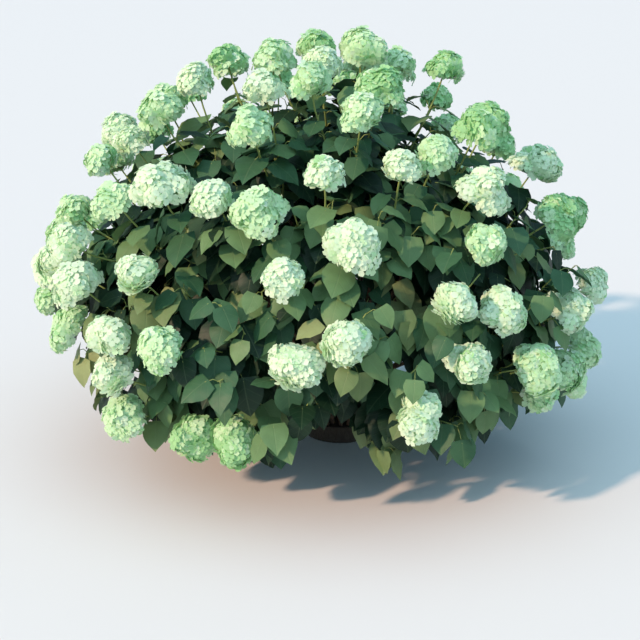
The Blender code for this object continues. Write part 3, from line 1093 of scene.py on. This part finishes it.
class Bloom:
    """The shape and the colour of one flower head, and what makes it differ from the next."""

    def __init__(self, head, number):
        rng = np.random.default_rng(int(head.radius * 1e7) + number)
        self.rng = rng
        self.middle = head.middle
        self.radius = head.radius * (HIGH_HEADS if head.middle.z > HIGH else 1)
        n = np.array((head.facing + UP * BLOOM_LIFT).normalized())
        u = np.cross(n, rng.normal(0, 1, 3))
        u /= np.linalg.norm(u)
        self.axes = np.stack([u, np.cross(n, u), n])
        self.lobes = unit_rows(rng.normal(0, 1, (LOBES, 3)) + np.array([0, 0, LOBE_LIFT]))
        side = rng.uniform(0, 2 * math.pi)
        low_side = np.array([math.cos(side), math.sin(side), -SAG_DIP])
        self.low_side = low_side / np.linalg.norm(low_side)
        self.swell = rng.uniform(0.18, 0.40)
        self.sag = rng.uniform(-0.08, 0.26)
        self.stretch = rng.uniform(0.94, 1.06, 3) * np.array([rng.uniform(1.0, 1.16), 1, 1])
        self.bell = rng.uniform(0.0, 0.18)

    def swollen(self, unit):
        """How far out the head reaches in these directions: lobes crowd it, one side sags."""
        near = (unit @ self.lobes.T).max(axis=1)
        out = BLOOM_REACH + self.swell * (np.exp(-((1 - near) * LOBE_SHARPNESS)) - LOBE_MEAN)
        return out + self.sag * np.exp(-((1 - unit @ self.low_side) * SAG_SHARPNESS))

    def domed(self, unit, radius):
        """Directions made points of a domed head, flatter below than above."""
        out = unit * (radius * self.swollen(unit))[:, None] * self.stretch
        out[:, :2] *= 1 - NARROWING * unit[:, 2:] + self.bell * np.maximum(0, -unit[:, 2:])
        out[:, 2] *= np.where(unit[:, 2] > 0, HEAD_TOP, -HEAD_FOOT)
        return out

    def set_in_place(self, points):
        return points @ self.axes + np.array(self.middle)

    def florets(self, settings, floret):
        """Copies of the floret all over the head, which leave its hollow underside bare."""
        rng = self.rng
        count = int(settings.florets * (self.radius / MIDDLING_HEAD) ** 2)
        i = np.arange(count) + 0.5
        height = 1 - i / count * (1 - LOWEST_FLORET)
        turn = i * GOLDEN_TURN + rng.uniform(0, FIRST_TURN)
        flat = np.sqrt(np.maximum(0, 1 - height**2))
        unit = np.stack([flat * np.cos(turn), flat * np.sin(turn), height], axis=1)
        unit = unit_rows(unit + rng.normal(0, SPOT_WAVER, unit.shape))
        spot = self.domed(unit, self.radius * SPOT_SHARE)
        spot *= rng.uniform(*SPOT_DEPTHS, count)[:, None]
        hang = rng.uniform(*RIM_HANG, count)
        spot[:, 2] -= np.where(height < RIM, hang, 0) * self.radius
        # A floret faces out from the dome and from its lobe.
        nearest = self.lobes[(unit @ self.lobes.T).argmax(axis=1)]
        normal = unit / np.array([1, 1, HEAD_FLATNESS])
        normal += (unit - nearest) * (self.swell * LOBE_TURN)
        normal += rng.normal(0, FLORET_WAVER, unit.shape)
        # The rim's florets turn their faces up and out, and lap over one another.
        normal[:, 2] += FLORET_LIFT + RIM_LIFT * np.maximum(0, -height)
        normal = unit_rows(normal)
        u = unit_rows(np.cross(normal, rng.normal(0, 1, unit.shape)))
        v = np.cross(normal, u)
        size = settings.floret * rng.uniform(0.80, 1.15, count)
        cup = rng.uniform(0.0, 1.8, count)
        local = np.repeat(floret[None], count, axis=0) * size[:, None, None]
        local[..., 2] *= cup[:, None]
        placed = local[..., :1] * u[:, None] + local[..., 1:2] * v[:, None]
        placed += local[..., 2:] * normal[:, None]
        return self.set_in_place(placed + spot[:, None])

    def tint_shares(self):
        """The shares of cream, pale green and lime: creamy at the sunny front, and greener at
        the top; greener at the back, on the shady right and near the ground as painted shade."""
        x, y, z = self.middle
        rng = random.Random(f"tint {x:.4f} {z:.4f}")
        green = GREENNESS + GREENER["back"] * y / CROWN_HALF_DEPTH + rng.uniform(*GREEN_WAVER)
        green += GREENER["top"] * (z > TOP_HEADS) + GREENER["ground"] * (z < LOW_HEADS)
        green += GREENER["right"] * max(0, x) / CROWN_HALF_WIDTH
        return next(shares for limit, shares in TINT_SHARES if green < limit)


class HYDRANGEA_OT_flowers(bpy.types.Operator):
    """Models one floret, then covers each flower head with copies of it"""

    bl_idname = "hydrangea.flowers"
    bl_label = "Flower heads"

    def floret(self):
        """Four broad cupped petals round a small bud, one unit from the middle to a tip."""
        turned = (0, 0, math.pi / 2)
        bpy.ops.mesh.primitive_circle_add(
            vertices=6, radius=0.46, fill_type="TRIFAN", location=PETAL_MIDDLE, rotation=turned
        )
        petals = bpy.context.active_object
        bpy.ops.object.transform_apply(location=True, rotation=True)
        start_editing(petals)
        # Narrow where it joins the bud, broad outside, hollow in the middle.
        resize(petals, lambda co: co.x < 0.3, (1, 0.55, 1))
        resize(petals, lambda co: co.x > 0.5, (1, 1.16, 1))
        move(petals, lambda co: co.x > 0.7, (0, 0, 0.03))
        move(petals, lambda co: (co - PETAL_MIDDLE).length < 0.02, (0.05, 0, -0.03))
        # Each petal comes to a blunt point, and one side of it lies over its neighbour.
        move(petals, lambda co: co.x > 0.95, (0.10, 0, -0.05))
        move(petals, lambda co: co.y > 0.2, (0, 0, 0.07))
        bpy.ops.mesh.select_all(action="SELECT")
        bpy.ops.mesh.spin(steps=3, dupli=True, angle=1.5 * math.pi, axis=(0, 0, 1))
        stop_editing()
        bpy.ops.mesh.primitive_cone_add(
            vertices=4, radius1=0.13, depth=0.14, end_fill_type="NOTHING", location=(0, 0, 0.07)
        )
        bud = bpy.context.active_object
        bpy.ops.object.transform_apply(location=True)
        bud_at = len(petals.data.vertices)
        select_only(petals, bud)
        bpy.ops.object.join()
        return (*arrays_of(petals), bud_at)

    def heart(self):
        """The lumpy ball of stalks and buds that the florets stand on, one unit in radius."""
        bpy.ops.mesh.primitive_ico_sphere_add(subdivisions=2, radius=1)
        ball = bpy.context.active_object
        make_lumpy(ball, "heart_lumps", size=0.7, strength=0.15)
        return arrays_of(ball)

    def execute(self, context):
        settings = context.scene.hydrangea_flowers
        floret, floret_faces, bud_at = self.floret()
        heart, heart_faces = self.heart()
        finishes = [
            petal_finish("petal_cream", tuple(settings.cream)),
            petal_finish("petal_pale_green", tuple(settings.pale)),
            petal_finish("petal_lime", tuple(settings.lime)),
            shoot_finish("flower_stalk_green", tuple(settings.heart)),
        ]
        lime, green = 2, 3
        is_bud = (floret_faces >= bud_at).all(axis=1)
        for tier in TIERS:
            parts, slots = [], []
            heads = [pair for mass in masses_of(tier) for pair in enumerate(mass.heads)]
            for number, head in heads:
                bloom = Bloom(head, number)
                florets = bloom.florets(settings, floret)
                count = len(florets)
                tints = bloom.rng.choice(3, count, p=bloom.tint_shares())
                tint = np.repeat(tints, len(floret_faces))
                tint[np.tile(is_bud, count)] = lime
                faces = copied(floret_faces, count, len(floret))
                inside = bloom.set_in_place(bloom.domed(heart, bloom.radius * HEART_SHARE))
                parts += [(florets.reshape(-1, 3), faces), (inside, heart_faces)]
                slots += [tint, np.full(len(heart_faces), green)]
            piece = mesh_piece(f"flowers_{tier}", *joined(parts), finishes, np.concatenate(slots))
            stand_for(piece, "foliage")
        return {"FINISHED"}


class HYDRANGEA_OT_stage(bpy.types.Operator):
    """Sets out the pale floor, the light and the camera"""

    bl_idname = "hydrangea.stage"
    bl_label = "Stage"

    def execute(self, context):
        stage = context.scene.hydrangea_stage
        self.lay_floor(stage)
        self.light_sky(stage)
        self.hang_lamps(stage)
        self.set_camera(stage)
        context.scene.view_settings.view_transform = "Standard"
        return {"FINISHED"}

    def lay_floor(self, stage):
        bpy.ops.mesh.primitive_plane_add(size=3000, location=(0, 0, -FLOOR_UNDER_FOOT))
        floor = bpy.context.active_object
        floor.name = "floor"
        bpy.ops.object.transform_apply(location=True)
        finish, _, shader = new_finish("matt_studio_paint", 0.9)
        shader.inputs["Base Color"].default_value = (*stage.floor, 1)
        floor.data.materials.append(finish)

    def light_sky(self, stage):
        """Soft light from all round. At the horizon the sky is as pale as the floor."""
        world = bpy.data.worlds.new("soft_sky")
        bpy.context.scene.world = world
        world.use_nodes = True
        tree = world.node_tree
        place = add_node(tree, "TexCoord")
        parts = add_node(tree, "SeparateXYZ", {"Vector": place.outputs["Generated"]})
        climb = {"Value": parts.outputs["Z"], "From Max": HORIZON_BAND}
        height = add_node(tree, "MapRange", climb).outputs["Result"]
        tones = {"Factor": height, "A": (*stage.horizon, 1), "B": (*stage.sky, 1)}
        tone = add_node(tree, "Mix", tones, data_type="RGBA").outputs["Result"]
        tree.links.new(tone, tree.nodes["Background"].inputs["Color"])

    def hang_lamps(self, stage):
        """Each lamp has a colour, a strength, a width in degrees and the way to it."""
        lamps = (
            (stage.sun, 3.8, 2.5, direction(-54, 29)),
            (stage.fill, 1.95, 90, direction(-30, 62)),
            (stage.bounce, 0.45, 100, direction(50, 18)),
        )
        for colour, strength, width, way in lamps:
            bpy.ops.object.light_add(type="SUN")
            lamp = bpy.context.active_object
            lamp.data.color = colour
            lamp.data.energy = strength
            lamp.data.angle = math.radians(width)
            lamp.rotation_euler = (-way).to_track_quat("-Z", "Y").to_euler()

    def set_camera(self, stage):
        aim = Vector((CROWN_MIDDLE.x, CROWN_MIDDLE.y, CAMERA_AIM_HEIGHT))
        bpy.ops.object.camera_add()
        camera = bpy.context.active_object
        view = direction(0, math.degrees(stage.elevation))
        camera.location = aim + view * stage.distance
        camera.rotation_euler = (math.pi / 2 - stage.elevation - CAMERA_DIP, 0, 0)
        camera.data.lens = LENS_MM
        bpy.context.scene.camera = camera


STEPS = (
    HYDRANGEA_OT_foot,
    HYDRANGEA_OT_canes,
    HYDRANGEA_OT_twigs,
    HYDRANGEA_OT_leaves,
    HYDRANGEA_OT_flowers,
    HYDRANGEA_OT_stage,
)
SETTINGS = {
    "hydrangea_wood": HydrangeaWood,
    "hydrangea_leaves": HydrangeaLeaves,
    "hydrangea_flowers": HydrangeaFlowers,
    "hydrangea_stage": HydrangeaStage,
}


class HYDRANGEA_PT_panel(bpy.types.Panel):
    """Lists the steps that make the shrub, and its sizes and colours"""

    bl_idname = "HYDRANGEA_PT_panel"
    bl_label = "Hydrangea"
    bl_space_type = "VIEW_3D"
    bl_region_type = "UI"
    bl_category = "Hydrangea"

    def draw(self, context):
        for step in STEPS:
            self.layout.operator(step.bl_idname)
        for name, group in SETTINGS.items():
            box = self.layout.box()
            for key in group.__annotations__:
                box.prop(getattr(context.scene, name), key)


def register():
    for cls in (*SETTINGS.values(), *STEPS, HYDRANGEA_PT_panel):
        bpy.utils.register_class(cls)
    for name, group in SETTINGS.items():
        setattr(bpy.types.Scene, name, PointerProperty(type=group))


def unregister():
    for name in SETTINGS:
        delattr(bpy.types.Scene, name)
    for cls in reversed((*SETTINGS.values(), *STEPS, HYDRANGEA_PT_panel)):
        bpy.utils.unregister_class(cls)


def main():
    register()
    SPRAYS.extend(grow_sprays())
    bpy.ops.hydrangea.foot()
    bpy.ops.hydrangea.canes()
    bpy.ops.hydrangea.twigs()
    bpy.ops.hydrangea.leaves()
    bpy.ops.hydrangea.flowers()
    bpy.ops.hydrangea.stage()


if __name__ == "__main__":
    main()
